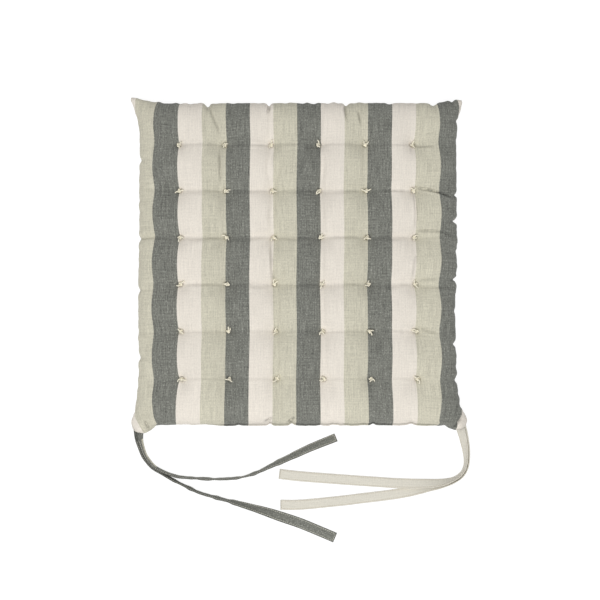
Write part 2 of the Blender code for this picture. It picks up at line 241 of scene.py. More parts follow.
RIGHT_TIE_LOWER = [
    (0.2012, -0.2026, -40), (0.2038, -0.2127, -50), (0.2064, -0.2251, -60), (0.2076, -0.2375, -72),
    (0.2062, -0.2489, -77), (0.2004, -0.2586, -75), (0.1898, -0.2652, -68), (0.1745, -0.2696, -48),
    (0.1600, -0.2724, -34), (0.1420, -0.2766, -18), (0.1202, -0.2806, -5), (0.1007, -0.2832, 0),
    (0.0763, -0.2861, 0), (0.0543, -0.2888, 0), (0.0043, -0.2936, 0), (-0.0210, -0.2938, 0),
]
RIGHT_OVERLAP_ENDS = 0.105
RIGHT_OVERLAP_LIFT = 0.0018


# Node materials


def linear(red, green, blue):
    """A colour given as display values from 0 to 255, in the linear values that shaders take."""
    shares = [value / 255 for value in (red, green, blue)]
    return [s / 12.92 if s <= 0.04045 else ((s + 0.055) / 1.055) ** 2.4 for s in shares]


class Shading:
    """A material whose colour and relief are worked out by nodes."""

    def __init__(self, name, roughness, sheen=0.0):
        self.material = bpy.data.materials.new(name)
        self.material.use_nodes = True
        self.tree = self.material.node_tree
        self.shader = self.tree.nodes["Principled BSDF"]
        self.shader.inputs["Roughness"].default_value = roughness
        self.shader.inputs["Specular IOR Level"].default_value = 0.25
        self.shader.inputs["Sheen Weight"].default_value = sheen
        self.shader.inputs["Sheen Roughness"].default_value = 0.6

    def put(self, socket, value):
        if isinstance(value, bpy.types.NodeSocket):
            self.tree.links.new(value, socket)
        else:
            socket.default_value = value

    def node(self, kind, values=(), **settings):
        made = self.tree.nodes.new("ShaderNode" + kind)
        for name, setting in settings.items():
            setattr(made, name, setting)
        for socket, value in dict(values).items():
            self.put(made.inputs[socket], value)
        return made

    def math(self, operation, *values):
        return self.node("Math", enumerate(values), operation=operation).outputs[0]

    def stretched(self, vector, x, y, z=1.0):
        """The coordinates scaled by one number along each axis."""
        values = {0: vector, 1: (x, y, z)}
        return self.node("VectorMath", values, operation="MULTIPLY").outputs[0]

    def noise(self, vector, detail=2.0, roughness=0.5, scale=1.0):
        values = {"Vector": vector, "Scale": scale, "Detail": detail, "Roughness": roughness}
        return self.node("TexNoise", values).outputs["Fac"]

    def ramp(self, factor, stops, interpolation="LINEAR"):
        """stops is a list of (place, linear colour)."""
        node = self.node("ValToRGB", {0: factor})
        node.color_ramp.interpolation = interpolation
        while len(node.color_ramp.elements) < len(stops):
            node.color_ramp.elements.new(1.0)
        for element, (place, colour) in zip(node.color_ramp.elements, stops):
            element.position = place
            element.color = (*colour, 1)
        return node.outputs["Color"]

    def blend(self, factor, first, second, kind="MIX"):
        node = self.node("Mix", data_type="RGBA", blend_type=kind)
        for index, value in ((0, factor), (6, first), (7, second)):
            self.put(node.inputs[index], value)
        return node.outputs[2]

    def scaled(self, colour, factor):
        node = self.node("VectorMath", operation="SCALE")
        self.put(node.inputs[0], colour)
        self.put(node.inputs[3], factor)
        return node.outputs[0]

    def finish(self, colour, height=None, distance=0.0):
        self.put(self.shader.inputs["Base Color"], colour)
        if height is not None:
            bump = self.node("Bump", {"Height": height, "Distance": distance, "Strength": 1.0})
            self.put(self.shader.inputs["Normal"], bump.outputs["Normal"])
        return self.material


SAGE = linear(201, 197, 179)
CHARCOAL = linear(120, 121, 114)
CREAM = linear(228, 221, 210)
CREAM_TAPE = linear(217, 213, 201)
PALE_YARN = linear(182, 183, 176)
ECRU = linear(242, 236, 216)


def weave_pattern(shading, cloth):
    """Uneven cotton yarns: how far they lighten or darken the cloth, as values about 0."""
    warp = shading.noise(shading.stretched(cloth, 950, 40), detail=3)
    weft = shading.noise(shading.stretched(cloth, 40, 950), detail=3)
    speck = shading.noise(shading.stretched(cloth, 640, 430), detail=3, roughness=0.65)
    centred = [shading.math("SUBTRACT", value, 0.5) for value in (warp, weft, speck)]
    return centred


def yarn_relief(shading, cloth, pitch=0.0009):
    """Height of the crossing yarns, from 0 to 1."""
    turns = 2 * math.pi / pitch
    parts = shading.node("SeparateXYZ", {0: shading.stretched(cloth, turns, turns)})
    waves = [shading.math("SINE", parts.outputs[axis]) for axis in (0, 1)]
    return shading.math("MULTIPLY_ADD", shading.math("MULTIPLY", *waves), 0.5, 0.5)


def woven_colour(shading, dye, contrast, centred):
    """The dye lightened and darkened by the yarns."""
    warp, weft, speck = centred
    along = shading.math("MULTIPLY", warp, 0.9)
    total = shading.math("ADD", shading.math("MULTIPLY_ADD", weft, 0.6, along), speck)
    share = shading.math("MULTIPLY", total, contrast)
    return shading.scaled(dye, shading.math("ADD", share, 1.0))


def striped_cotton():
    """Three dyed stripes that repeat across the cloth. The charcoal one is crossed by paler yarn. Shade is painted
    into creases, tuft pits and along the seam.
    """
    shading = Shading("striped_cotton_weave", 0.92, sheen=0.12)
    cloth = shading.node("UVMap", uv_map="cloth").outputs["UV"]
    wander = shading.math("SUBTRACT", shading.noise(shading.stretched(cloth, 20, 420), detail=1), 0.5)
    across = shading.node("SeparateXYZ", {0: cloth}).outputs[0]
    across = shading.math("MULTIPLY_ADD", wander, 0.0004, across)
    repeat = shading.math("DIVIDE", shading.math("SUBTRACT", across, STRIPE_START - STRIPE), 3 * STRIPE)
    repeat = shading.math("FRACT", shading.math("ADD", repeat, 3.0))
    third = 1 / 3
    dye = shading.ramp(repeat, [(0, CHARCOAL), (third, CREAM), (2 * third, SAGE)], "CONSTANT")
    is_dark = shading.math("LESS_THAN", repeat, third)
    is_sage = shading.math("GREATER_THAN", repeat, 2 * third)
    contrast = shading.math("MULTIPLY_ADD", is_sage, 0.36, shading.math("MULTIPLY_ADD", is_dark, 1.35, 0.34))
    centred = weave_pattern(shading, cloth)
    fleck = shading.math("MULTIPLY", is_dark, shading.math("GREATER_THAN", centred[2], 0.12))
    dye = shading.blend(shading.math("MULTIPLY", fleck, 0.22), dye, (*PALE_YARN, 1))
    tone = shading.math("SUBTRACT", shading.noise(shading.stretched(cloth, 14, 14), detail=2), 0.5)
    colour = woven_colour(shading, dye, contrast, centred)
    colour = shading.scaled(colour, shading.math("MULTIPLY_ADD", tone, 0.10, 1.0))
    # Painted shade: the colour is darkened where the crease map puts a point in a crease, a tuft pit or along the
    # seam.
    crease = shading.node("SeparateXYZ", {0: shading.node("UVMap", uv_map="crease").outputs["UV"]}).outputs[0]
    colour = shading.scaled(colour, shading.math("MULTIPLY_ADD", crease, -PAINTED_SHADE_STRENGTH, 1.0))
    height = shading.math("ADD", yarn_relief(shading, cloth), centred[0])
    return shading.finish(colour, height, 0.00010)


def tape_cotton(name, dye, contrast, border_painted_shade, flecks=0.0, pale_edge=None):
    """Folded cotton tape. Its cloth coordinates run across it, and along it from its free end.

    The folded borders along both edges and over the end are painted a little darker, as painted shade. pale_edge is
    where a sliver of the next stripe shows along one
    border: (from, to) along the tape.
    """
    shading = Shading(name, 0.92, sheen=0.1)
    cloth = shading.node("UVMap", uv_map="cloth").outputs["UV"]
    parts = shading.node("SeparateXYZ", {0: cloth})
    across, along = parts.outputs[0], parts.outputs[1]
    centred = weave_pattern(shading, cloth)
    fleck = shading.math("GREATER_THAN", centred[2], 0.08)
    colour = shading.blend(shading.math("MULTIPLY", fleck, flecks), (*dye, 1), (*PALE_YARN, 1))
    if pale_edge:
        sliver = shading.math("GREATER_THAN", across, TIE_WIDTH / 2 - PALE_EDGE_WIDTH)
        for operation, place in (("GREATER_THAN", pale_edge[0]), ("LESS_THAN", pale_edge[1])):
            sliver = shading.math("MULTIPLY", sliver, shading.math(operation, along, place))
        colour = shading.blend(sliver, colour, (*SAGE, 1))
    colour = woven_colour(shading, colour, contrast, centred)
    # Painted shade along both borders and over the end, except where the pale sliver shows.
    beside = shading.math("GREATER_THAN", shading.math("ABSOLUTE", across), TIE_WIDTH / 2 - TIE_BORDER)
    painted_shade_border = shading.math("MAXIMUM", beside, shading.math("LESS_THAN", along, TIE_BORDER))
    if pale_edge:
        painted_shade_border = shading.math("MULTIPLY", painted_shade_border, shading.math("SUBTRACT", 1.0, sliver))
    colour = shading.scaled(colour, shading.math("MULTIPLY_ADD", painted_shade_border, -border_painted_shade, 1.0))
    height = shading.math("ADD", yarn_relief(shading, cloth), centred[1])
    return shading.finish(colour, height, 0.00010)


def twisted_yarn(name, dye, contrast):
    """String or thread: fibres that run along it, with paler and darker ones between."""
    shading = Shading(name, 0.8, sheen=0.15)
    cloth = shading.node("UVMap", uv_map="cloth").outputs["UV"]
    fibres = shading.noise(shading.stretched(cloth, 9000, 900), detail=2)
    share = shading.math("MULTIPLY_ADD", fibres, contrast, 1 - contrast / 2)
    colour = shading.scaled(tuple(dye), share)
    return shading.finish(colour, fibres, 0.00008)


def fibre_fill():
    """Loose white wadding fibre."""
    shading = Shading("wadding_fibre_fill", 1.0)
    place = shading.node("TexCoord").outputs["Object"]
    clumps = shading.noise(place, detail=6, roughness=0.7, scale=180)
    colour = shading.ramp(clumps, [(0.3, linear(205, 203, 196)), (0.7, linear(240, 239, 234))])
    return shading.finish(colour, clumps, 0.0008)


def pale_floor():
    """The top of a pale lit table: a little light comes through it, so shadows on it stay faint."""
    shading = Shading("pale_floor", 0.9)
    place = shading.node("TexCoord").outputs["Object"]
    mottle = shading.noise(place, detail=3, scale=6)
    colour = shading.ramp(mottle, [(0.3, linear(116, 116, 116)), (0.7, linear(120, 120, 120))])
    shading.shader.inputs["Emission Color"].default_value = (1, 1, 1, 1)
    shading.shader.inputs["Emission Strength"].default_value = FLOOR_GLOW
    return shading.finish(colour)


# Camera, light and floor


def add_object(name, data):
    obj = bpy.data.objects.new(name, data)
    bpy.context.scene.collection.objects.link(obj)
    return obj


def aim(obj, place, target):
    obj.location = place
    obj.rotation_euler = (target - place).to_track_quat("-Z", "Y").to_euler()


def make_camera():
    data = bpy.data.cameras.new("camera")
    data.sensor_width = SENSOR * 1000
    data.lens = SENSOR * 1000 * CAMERA_DISTANCE / VIEW_WIDTH
    camera = add_object("camera", data)
    back = Vector((0, -math.sin(CAMERA_TIP), math.cos(CAMERA_TIP)))
    aim(camera, AIM + back * CAMERA_DISTANCE, AIM)
    bpy.context.scene.camera = camera


def make_studio(floor_material):
    world = bpy.data.worlds.new("surround")
    world.use_nodes = True
    nodes, links = world.node_tree.nodes, world.node_tree.links
    background = nodes["Background"]
    background.inputs["Color"].default_value = (1, 1, 1, 1)
    direction = nodes.new("ShaderNodeTexCoord").outputs["Generated"]
    height = nodes.new("ShaderNodeSeparateXYZ")
    links.new(direction, height.inputs[0])
    strength = nodes.new("ShaderNodeMapRange")
    strength.inputs["To Min"].default_value = SURROUND_LOW
    strength.inputs["To Max"].default_value = SURROUND_HIGH
    links.new(height.outputs["Z"], strength.inputs["Value"])
    links.new(strength.outputs["Result"], background.inputs["Strength"])
    bpy.context.scene.world = world
    bpy.context.scene.view_settings.view_transform = "Standard"

    data = bpy.data.lights.new("soft_lamp", "AREA")
    data.shape = "SQUARE"
    data.size = LAMP_SIZE
    data.energy = LAMP_POWER
    aim(add_object("soft_lamp", data), LAMP_PLACE, LAMP_AIM)

    half = FLOOR_SIZE / 2
    corners = [(-half, -half, 0), (half, -half, 0), (half, half, 0), (-half, half, 0)]
    data = bpy.data.meshes.new("floor")
    data.from_pydata(corners, [], [(0, 1, 2, 3)])
    data.materials.append(floor_material)
    floor = add_object("floor", data)
    floor.location.z = -0.0005


# Mesh building


def make_mesh(name, points, faces, uv, material, painted_shade=None):
    """A smooth mesh object with one cloth coordinate at each point, and the shade painted at it for creases, tuft
    pits and the seam.
    """
    data = bpy.data.meshes.new(name)
    data.from_pydata([tuple(p) for p in points], [], faces)
    data.materials.append(material)
    layer = data.uv_layers.new(name="cloth")
    corner_points = np.empty(len(data.loops), np.int32)
    data.loops.foreach_get("vertex_index", corner_points)
    layer.data.foreach_set("uv", np.asarray(uv, np.float32)[corner_points].ravel())
    if painted_shade is not None:
        layer = data.uv_layers.new(name="crease")
        pairs = np.column_stack([painted_shade, painted_shade]).astype(np.float32)
        layer.data.foreach_set("uv", pairs[corner_points].ravel())
    data.polygons.foreach_set("use_smooth", np.ones(len(data.polygons), bool))
    data.validate()
    return add_object(name, data)


def grid_faces(rows, columns, start=0, flip=False, closed=False):
    """Quads over a grid of points numbered row by row from start."""
    faces = []
    for row in range(rows - 1):
        for column in range(columns - 1 + closed):
            after = (column + 1) % columns
            low = start + row * columns
            quad = (low + column, low + after, low + columns + after, low + columns + column)
            faces.append(quad[::-1] if flip else quad)
    return faces


def unit(vectors):
    return vectors / np.maximum(np.linalg.norm(vectors, axis=-1, keepdims=True), 1e-12)


def joined(shapes):
    """Several (points, faces, uv) as one."""
    points, faces, uv = [], [], []
    for shape_points, shape_faces, shape_uv in shapes:
        base = len(points)
        points.extend(map(tuple, shape_points))
        faces.extend(tuple(base + index for index in face) for face in shape_faces)
        uv.extend(map(tuple, shape_uv))
    return points, faces, uv


def path_frames(path):
    """Tangents, and two unit vectors across the path that don't spin round it."""
    tangents = unit(np.gradient(path, axis=0))
    side = np.cross(tangents[0], (0.0, 0.0, 1.0))
    if np.linalg.norm(side) < 0.1:
        side = np.cross(tangents[0], (1.0, 0.0, 0.0))
    sides = []
    for tangent in tangents:
        side = side - tangent * side.dot(tangent)
        side = side / np.linalg.norm(side)
        sides.append(side)
    sides = np.array(sides)
    return tangents, sides, np.cross(tangents, sides)


def tube(path, radius, segments=8, plies=1, lay=0.004, taper=0.0):
    """A closed tube along the path. With two plies its section is waisted and turns as it goes."""
    path = np.asarray(path, float)
    _, sides, ups = path_frames(path)
    lengths = np.concatenate([[0], np.cumsum(np.linalg.norm(np.diff(path, axis=0), axis=1))])
    points, uv = [], []
    for index, centre in enumerate(path):
        spin = 2 * math.pi * lengths[index] / lay if plies > 1 else 0
        rest = min(lengths[index], lengths[-1] - lengths[index])
        size = radius * (1 - taper * math.exp(-rest / radius))
        for step in range(segments):
            angle = 2 * math.pi * step / segments
            waist = 1 if plies == 1 else 0.70 + 0.30 * abs(math.cos(angle))
            reach = size * waist
            turned = angle + spin
            across = sides[index] * math.cos(turned) + ups[index] * math.sin(turned)
            points.append(centre + across * reach)
            uv.append((radius * angle, lengths[index]))
    faces = grid_faces(len(path), segments, closed=True)
    last = (len(path) - 1) * segments
    faces.append(tuple(range(segments))[::-1])
    faces.append(tuple(range(last, last + segments)))
    return points, faces, uv


# Ties


def smooth_route(route, spacing):
    """Points evenly spaced along a smooth curve through the route's own points (Catmull-Rom)."""
    places = [Vector(place) for place in route]
    ends = [places[0] * 2 - places[1], *places, places[-1] * 2 - places[-2]]
    fine = []
    for a, b, c, d in zip(ends, ends[1:], ends[2:], ends[3:]):
        for step in range(ROUTE_STEPS):
            t = step / ROUTE_STEPS
            curved = (a * 2 - b * 5 + c * 4 - d) * t**2 + (b * 3 - a - c * 3 + d) * t**3
            fine.append(b + ((c - a) * t + curved) / 2)
    fine.append(places[-1])
    fine = np.array(fine)
    steps = np.linalg.norm(np.diff(fine[:, :2], axis=0), axis=1)
    lengths = np.concatenate([[0], np.cumsum(steps)])
    even = np.linspace(0, lengths[-1], round(lengths[-1] / spacing) + 1)
    return np.stack([np.interp(even, lengths, fine[:, axis]) for axis in range(3)], axis=1), even


def tie_path(route, lifts, rng):
    """Centre line of a tie, with the lean of its cloth at each point in radians."""
    places, travelled = smooth_route(route, TIE_SPACING)
    lean = np.radians(places[:, 2])
    if route is LEFT_TIE_UPPER or route is LEFT_TIE_LOWER:
        lean = lean * (1 - 0.22 * np.exp(-((travelled / 0.016) ** 2)))
    on_edge = np.clip((np.abs(lean) - 0.7) / 0.5, 0, 1)
    ripple = sum(
        np.sin(2 * math.pi * travelled / wave + rng.uniform(0, 2 * math.pi)) * size
        for wave, size in TIE_RIPPLES
    )
    away = np.clip((travelled - TIE_RIPPLES_FROM) / 0.03, 0, 1)
    lean = lean + ripple * on_edge * away
    z = FLOOR_GAP + TIE_WIDTH / 2 * np.abs(np.sin(lean)) + TIE_THICKNESS / 2 * np.cos(lean)
    if lifts:
        z += RIGHT_OVERLAP_LIFT * np.clip((places[:, 0] - RIGHT_OVERLAP_ENDS) / 0.02, 0, 1)
    z += (TIE_SEAM - TIE_WIDTH / 2) * np.exp(-((travelled / TIE_FALL) ** 2))
    return np.column_stack([places[:, :2], z]), lean, travelled


def tie_axes(path, lean):
    """Unit vectors across the tape, towards its left edge, and out of its upper face."""
    tangents = unit(np.gradient(path, axis=0))
    left = unit(np.cross((0.0, 0.0, 1.0), tangents))
    up = unit(np.cross(tangents, left))
    cos, sin = np.cos(lean)[:, None], np.sin(lean)[:, None]
    return left * cos - up * sin, up * cos + left * sin


def tape_section():
    """The tape's outline across its width, as (across, height) in half widths and half thicknesses."""
    upper = [(-1.0, 0.25), (-0.97, 0.75), (-0.90, 0.95), (-0.80, 0.80), (-0.60, 1.05), (-0.30, 1.0)]
    upper += [(0.0, 1.05), (0.30, 1.0), (0.60, 1.05), (0.80, 0.80), (0.90, 0.95), (0.97, 0.75), (1.0, 0.25)]
    return upper + [(across, -height) for across, height in reversed(upper)]


def make_tie(name, route, material, thread_material, lifts=False):
    rng = np.random.default_rng([SEED, len(name), int(1000 * abs(route[0][0]))])
    path, lean, travelled = tie_path(route, lifts, rng)
    across, up = tie_axes(path, lean)
    section = tape_section()
    # The sewn-in root goes on inside the corner, straight back from where the tie comes out.
    back = unit(path[0] - path[1])
    centres = [path[0] + back * TIE_ROOT * share for share in (1, 0.5)] + list(path)
    points, uv = [], []
    for step, centre in enumerate(centres):
        index = max(0, step - 2)
        for side, height in section:
            offset = across[index] * side * TIE_WIDTH / 2 + up[index] * height * TIE_THICKNESS / 2
            points.append(centre + offset)
            uv.append((side * TIE_WIDTH / 2, travelled[-1] - travelled[index]))
    faces = grid_faces(len(centres), len(section), closed=True, flip=True)
    last = (len(centres) - 1) * len(section)
    faces.append(tuple(range(len(section))))
    faces.append(tuple(range(last, last + len(section)))[::-1])
    tie = make_mesh(name, points, faces, uv, material)
    stitches = make_topstitching(name + "_stitching", path, across, up, travelled, thread_material)
    return tie, stitches, path


def make_topstitching(name, path, across, up, travelled, material, stitch=0.0026, inset=0.0016):
    """Two rows of stitches on each face, a stitch inside the long edges, and one row over the end."""
    def at(distance, side, face):
        centre = [np.interp(distance, travelled, path[:, axis]) for axis in range(3)]
        a = [np.interp(distance, travelled, across[:, axis]) for axis in range(3)]
        u = [np.interp(distance, travelled, up[:, axis]) for axis in range(3)]
        height = TIE_THICKNESS / 2 * 0.92 * face
        return np.array(centre) + np.array(a) * side + np.array(u) * height

    edge = TIE_WIDTH / 2 - inset
    shapes = []
    for face in (1, -1):
        for side in (edge, -edge):
            distance = 0.012
            while distance + stitch < travelled[-1] - inset:
                ends = (distance + 0.12 * stitch, distance + 0.88 * stitch)
                shapes.append(tube([at(d, side, face) for d in np.linspace(*ends, 4)], STITCH_RADIUS, 5, taper=0.6))
                distance += stitch
        count = round(2 * edge / stitch)
        for index in range(count):
            start = -edge + 2 * edge * (index + 0.1) / count
            end = -edge + 2 * edge * (index + 0.9) / count
            line = [at(travelled[-1] - inset, s, face) for s in np.linspace(start, end, 4)]
            shapes.append(tube(line, STITCH_RADIUS, 5, taper=0.6))
    points, faces, uv = joined(shapes)
    return make_mesh(name, np.maximum(points, (-np.inf, -np.inf, 0.0)), faces, uv, material)


def make_ties(materials):
    ties = (
        ("tie_left_upper", "left_tie_upper", LEFT_TIE_UPPER, "charcoal_pale_edge", False),
        ("tie_left_lower", "left_tie_lower", LEFT_TIE_LOWER, "charcoal", False),
        ("tie_right_upper", "right_tie_upper", RIGHT_TIE_UPPER, "cream", True),
        ("tie_right_lower", "right_tie_lower", RIGHT_TIE_LOWER, "cream", False),
    )
    for name, node, route, colour, lifts in ties:
        dye = colour.split("_")[0]
        tape, thread = materials[colour + "_tape"], materials[dye + "_thread"]
        tie, stitches, path = make_tie(name, route, tape, thread, lifts)
        for piece in (tie, stitches):
            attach(piece, BODY)
        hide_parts(node)


# Cover cloth


def tuft_name(row, column):
    return f"tuft_row{row}_col{column}"


def tuft_place(row, column):
    """Where the CAD string of this tuft stands. Every other one has its tails on the left."""
    low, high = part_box(tuft_name(row, column))
    middle = (low.y + high.y) / 2
    if (row * 5 + column * 3) % 2:
        return Vector((high.x - KNOT_REACH, middle, 0))
    return Vector((low.x + KNOT_REACH, middle, 0))


def cloth_lines():
    """Cloth coordinates of the grid's columns and rows, and the columns and rows that tufts stand on."""
    columns = np.arange(LEFT_CELLS + (TUFTS - 1) * TUFT_CELLS + RIGHT_CELLS + 1) - LEFT_CELLS
    rows = np.arange(REAR_CELLS + (TUFTS - 1) * TUFT_CELLS + FRONT_CELLS + 1) - REAR_CELLS
    return columns * CELL, rows * CELL


def spread(cloth):
    """Where a cloth line lies before the cloth relaxes, from its cloth coordinate."""
    middle = (TUFTS - 1) / 2
    slack = TUFT_PITCH / (TUFT_CELLS * CELL)
    return (cloth - middle * TUFT_CELLS * CELL) * slack


def blurred(values, times):
    for _ in range(times):
        for axis in (1, 2):
            ends = np.concatenate([values.take([0], axis), values, values.take([-1], axis)], axis)
            size = values.shape[axis]
            before, after = ends.take(range(size), axis), ends.take(range(2, size + 2), axis)
            values = (before + 2 * values + after) / 4
    return values


def start_shape(columns, rows, rng):
    """Both panels over the wadding, as (panel, row, column, xyz), with a slight unevenness."""
    x, y = np.meshgrid(spread(columns), spread(rows))
    rise = 1
    for place in (x, y):
        inside = np.minimum(place - place.min(), place.max() - place)
        rise = rise * np.sin(np.pi / 2 * np.clip(inside / 0.035, 0, 1))
    points = np.zeros((2, len(rows), len(columns), 3))
    points[..., 0] = x
    points[..., 1] = y
    points[0, ..., 2] = SEAM_HEIGHT + (0.034 - SEAM_HEIGHT) * rise
    points[1, ..., 2] = SEAM_HEIGHT * (1 - rise) + 0.002 * rise
    uneven = blurred(rng.standard_normal(points.shape), 5)
    return points + uneven / uneven.std() * 0.0004


def tuft_pins(columns, rows):
    """Points of the cloth that the strings hold: (panel, row, column) and where each is held."""
    index, places = [], []
    for row in range(TUFTS):
        for column in range(TUFTS):
            place = tuft_place(TUFTS - row, column + 1)
            at_row = REAR_CELLS + row * TUFT_CELLS
            at_column = round(np.interp(place.x, spread(columns), np.arange(len(columns))) - 0.5)
            for panel, height in ((0, TUFT_TOP), (1, TUFT_UNDER)):
                for leg in (0, 1):
                    index.append((panel, at_row, at_column + leg))
                    places.append((place.x + (leg - 0.5) * HOLE_GAP, place.y, height))
    return tuple(np.array(index).T), np.array(places)


def cloth_links(points, free):
    """Views of both ends of every thread, shear and bend link, grouped so that no group shares a point."""
    every = slice(None)
    last_row, last_column = points.shape[1] - 1, points.shape[2] - 1
    links = []

    def add(one, two, rest, stiffness):
        links.append((points[one], points[two], rest, stiffness, free[one], free[two]))

    across = np.full((2, last_row + 1, last_column, 1), CELL)
    along = np.full((2, last_row, last_column + 1, 1), CELL)
    across[:, [0, -1]] *= SEAM_TAKE_UP
    along[:, :, [0, -1]] *= SEAM_TAKE_UP
    for start in (0, 1):
        one, two = slice(start, last_column, 2), slice(start + 1, last_column + 1, 2)
        add((every, every, one), (every, every, two), across[:, :, one], 1.0)
        one, two = slice(start, last_row, 2), slice(start + 1, last_row + 1, 2)
        add((every, one), (every, two), along[:, one], 1.0)
    left, right = slice(0, last_column), slice(1, last_column + 1)
    for start in (0, 1):
        one, two = slice(start, last_row, 2), slice(start + 1, last_row + 1, 2)
        for near, far in ((left, right), (right, left)):
            add((every, one, near), (every, two, far), CELL * math.sqrt(2), SHEAR)
    for start in range(4):
        one, two = slice(start, last_column - 1, 4), slice(start + 2, last_column + 1, 4)
        add((every, every, one), (every, every, two), 2 * CELL, BEND)
        one, two = slice(start, last_row - 1, 4), slice(start + 2, last_row + 1, 4)
        add((every, one), (every, two), 2 * CELL, BEND)
    return links


def hold_lengths(links):
    """Moves the two ends of every link towards its rest length."""
    for one, two, rest, stiffness, free_one, free_two in links:
        gap = two - one
        length = np.sqrt((gap * gap).sum(-1, keepdims=True))
        share = stiffness * (length - rest) / np.maximum(length, 1e-9)
        share = share / np.maximum(free_one + free_two, 1)
        one += free_one * share * gap
        two -= free_two * share * gap


def outward(points):
    """Unit normals of both panels, away from the wadding."""
    normals = unit(np.cross(np.gradient(points, axis=2), np.gradient(points, axis=1)))
    normals[1] *= -1
    return normals


def relax_cloth(columns, rows, rng):
    """Cloth simulation: wadding pushes the panels apart, and yarns, seam, strings and floor hold them."""
    points = start_shape(columns, rows, rng)
    pins, pinned = tuft_pins(columns, rows)
    free = np.ones(points.shape[:3] + (1,))
    free[pins] = 0
    points[pins] = pinned
    edge = np.zeros(points.shape[1:3], bool)
    edge[[0, -1]] = True
    edge[:, [0, -1]] = True
    links = cloth_links(points, free)
    velocity = np.zeros_like(points)
    for _ in range(STEPS):
        gap = np.clip(points[0, ..., 2] - points[1, ..., 2], 0, None)
        press = PUSH * np.clip(1 - gap / LOFT, -0.2, 1)[None, ..., None] * outward(points)
        press[:, edge] = 0
        before = points.copy()
        points += (velocity + press) * free
        for _ in range(PASSES):
            hold_lengths(links)
            points[:, edge] = points[:, edge].mean(axis=0)
            points[pins] = pinned
            np.maximum(points[..., 2], 0, out=points[..., 2])
        velocity = (points - before) * GRIP
    return points


def refined(grid, axis):
    """The grid with a point added half way between each two, on a smooth curve (four-point scheme)."""
    grid = np.moveaxis(grid, axis, 0)
    before = 2 * grid[:1] - grid[1:2]
    after = 2 * grid[-1:] - grid[-2:-1]
    wide = np.concatenate([before, grid, after])
    middles = (9 * (grid[:-1] + grid[1:]) - (wide[:-3] + wide[3:])) / 16
    out = np.empty((2 * len(grid) - 1,) + grid.shape[1:])
    out[::2] = grid
    out[1::2] = middles
    return np.moveaxis(out, 0, axis)


def ring_index(rows, columns):
    """Row and column of each point round the grid's edge, anticlockwise from its first."""
    bottom = [(0, c) for c in range(columns)]
    right = [(r, columns - 1) for r in range(1, rows)]
    top = [(rows - 1, c) for c in range(columns - 2, -1, -1)]
    left = [(r, 0) for r in range(rows - 2, 0, -1)]
    return np.array(bottom + right + top + left)


def side_layout(columns, rows):
    """For each side, over the grid: place along it in the pad, cloth distance from it, and the way out of it."""
    along_x, along_y = np.meshgrid(spread(columns), spread(rows))
    cloth_x, cloth_y = np.meshgrid(columns, rows)
    return {
        "left": (along_y, cloth_x - columns[0], (-1, 0, 0)),
        "right": (along_y, columns[-1] - cloth_x, (1, 0, 0)),
        "rear": (along_x, cloth_y - rows[0], (0, -1, 0)),
        "front": (along_x, rows[-1] - cloth_y, (0, 1, 0)),
    }


def bump(distance, width):
    return np.exp(-((distance / width) ** 2))


def beside_seam(inset, reach):
    """0 on the seam, 1 at the reach from it, and falling slowly beyond."""
    share = inset / reach
    return share * np.exp(1 - share)


def gather_seam(points, normals, layout, rng):
    """Notches and small puckers along the seam, which both panels share."""
    for side, (along, inset, out) in layout.items():
        out = np.array(out)
        waves = [(size, 2 * np.pi / wave, rng.uniform(0, 2 * np.pi), rng.uniform(0, 2 * np.pi)) for wave, size in PUCKERS]
        ripple = sum(size * np.sin(turns * along + start) for size, turns, start, _ in waves)
        pull = sum(size * np.sin(turns * along + start) for size, turns, _, start in waves)
        strength = 0.55 + 0.45 * np.sin(along * 37 + rng.uniform(0, 2 * np.pi))
        lift = (ripple * strength * beside_seam(inset, 0.005))[None, ..., None]
        points += normals * lift * PUCKER_HEIGHT
        points += (pull * np.exp(-inset / 0.007))[..., None] * out * PUCKER_PULL
        for place, depth, width in NOTCHES[side]:
            points -= (depth * bump(along - place, width) * np.exp(-inset / NOTCH_REACH))[..., None] * out
            groove = 0.9 * depth * bump(along - place, 0.55 * width) * beside_seam(inset, 0.006)
            points -= normals * groove[None, ..., None]


def fold_distance(points, start, bow, end, samples=14):
    """Distance in plan from each point to a curve, and how far along the curve the nearest place is."""
    start, bow, end = (np.array(place) for place in (start, bow, end))
    best = np.full(points.shape[:2], np.inf)
    share = np.zeros(points.shape[:2])
    previous = start
    for step in range(1, samples + 1):
        t = step / samples
        place = start * (1 - t) ** 2 + 2 * bow * t * (1 - t) + end * t * t
        leg = place - previous
        offset = points[..., :2] - previous
        on_leg = np.clip(offset @ leg / (leg @ leg), 0, 1)
        distance = np.linalg.norm(offset - on_leg[..., None] * leg, axis=-1)
        nearer = distance < best
        best = np.where(nearer, distance, best)
        share = np.where(nearer, (step - 1 + on_leg) / samples, share)
        previous = place
    return best, share


def press_fold(points, normals, start, bow, end, depth, width):
    """A crease in one panel: a narrow groove with a low ridge on each side. Gives where the groove is."""
    distance, share = fold_distance(points, start, bow, end)
    strength = np.clip(4 * share, 0.25, 1) * np.clip(5 * (1 - share), 0.25, 1)
    groove = bump(distance, width) - 0.35 * bump(distance - 2.4 * width, width)
    points -= normals * (depth * strength * groove)[..., None]
    return strength * bump(distance, width)


def crease_rows(points, normals, painted_shade, rng):
    """The shallow crease that the strings pull into the upper panel, from each tuft to the next in its row, with
    painted shade along it.
    """
    for row in range(1, TUFTS + 1):
        for column in range(1, TUFTS):
            start, end = tuft_place(row, column), tuft_place(row, column + 1)
            bow = (start + end) / 2 + Vector((0, rng.uniform(-0.0015, 0.0015), 0))
            depth = ROW_FOLD_DEPTH * rng.uniform(0.5, 1.2)
            groove = press_fold(points, normals, start.xy, bow.xy, end.xy, depth, ROW_FOLD_WIDTH)
            np.maximum(painted_shade, ROW_FOLD_PAINTED_SHADE * groove, out=painted_shade)


